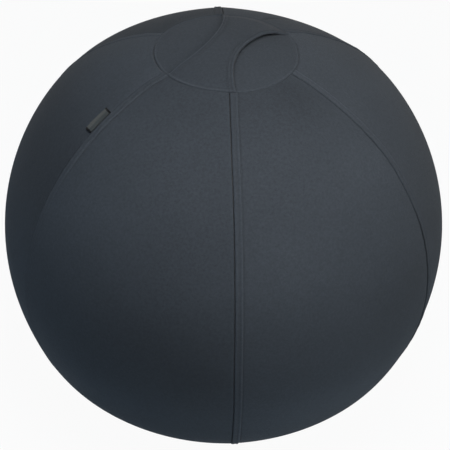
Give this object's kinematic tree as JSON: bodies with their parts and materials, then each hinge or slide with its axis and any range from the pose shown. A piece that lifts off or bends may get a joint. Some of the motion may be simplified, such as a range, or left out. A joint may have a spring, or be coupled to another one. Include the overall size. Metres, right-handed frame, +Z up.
{
  "type": "sitting ball",
  "caption": "Fabric-covered inflated sitting ball with gored panels, a carrying handle sewn across its cap, a zip down the back and a flat non-slip foot.",
  "frame": {"origin": "middle of the flat foot, on the floor", "axes": "+Z up through the handle, -Y towards the front seam, +Y towards the zip, +X to the right as seen from the front"},
  "size_m": [0.648, 0.6517, 0.6355],
  "materials": {
    "cover_fabric": "matte, fine plain weave, charcoal",
    "cap_fabric": "matte, fine plain weave, charcoal",
    "base_fabric": "matte, with non-slip dots",
    "label_weave": "close satin weave, unmarked",
    "bladder_pvc": "soft satin",
    "valve_plastic": "smooth moulded",
    "ballast_sand": "loose grains",
    "zip_tape": "matte woven tape",
    "zip_plastic": "moulded",
    "zip_metal": "black enamel"
  },
  "bodies": {
    "ball": {"front_left_panel": "cover_fabric", "front_right_panel": "cover_fabric", "right_panel": "cover_fabric", "back_right_panel": "cover_fabric", "back_left_panel": "cover_fabric", "left_panel": "cover_fabric", "top_disc": "cap_fabric", "base_disc": "base_fabric", "inner_ball": "bladder_pvc", "valve_seat": "valve_plastic", "valve_plug": "valve_plastic", "ballast": "ballast_sand", "zip_tape_left": "zip_tape", "zip_tape_right": "zip_tape", "zip_teeth_left": "zip_plastic", "zip_teeth_right": "zip_plastic", "zip_lower_stops": "zip_plastic", "zip_upper_stop": "zip_plastic"},
    "handle": {"handle_face": "cap_fabric", "handle_lining": "cap_fabric"},
    "slider": {"zip_slider": "zip_metal"},
    "puller": {"zip_puller": "zip_metal"},
    "label": {"side_label": "label_weave"}
  },
  "joints": [
    {"name": "handle_lift", "type": "slide", "parent": "ball", "child": "handle", "axis": [0, 0, 1], "range_m": [0, 0.025]},
    {"name": "zip_slide", "type": "hinge", "parent": "ball", "child": "slider", "pos_m": [0, -0.02, 0.31077], "axis": [1, 0, 0], "range_deg": [0, 46.9], "deforming": ["zip_teeth_left", "zip_teeth_right"]},
    {"name": "puller_swing", "type": "hinge", "parent": "slider", "child": "puller", "pos_m": [0, 0.31432, 0.20856], "axis": [1, 0, 0], "range_deg": [-12, 140]},
    {"name": "label_flap", "type": "hinge", "parent": "ball", "child": "label", "pos_m": [-0.17018, -0.09826, 0.57314], "axis": [0.7344, 0.424, 0.5299], "range_deg": [0, 100]}
  ]
}
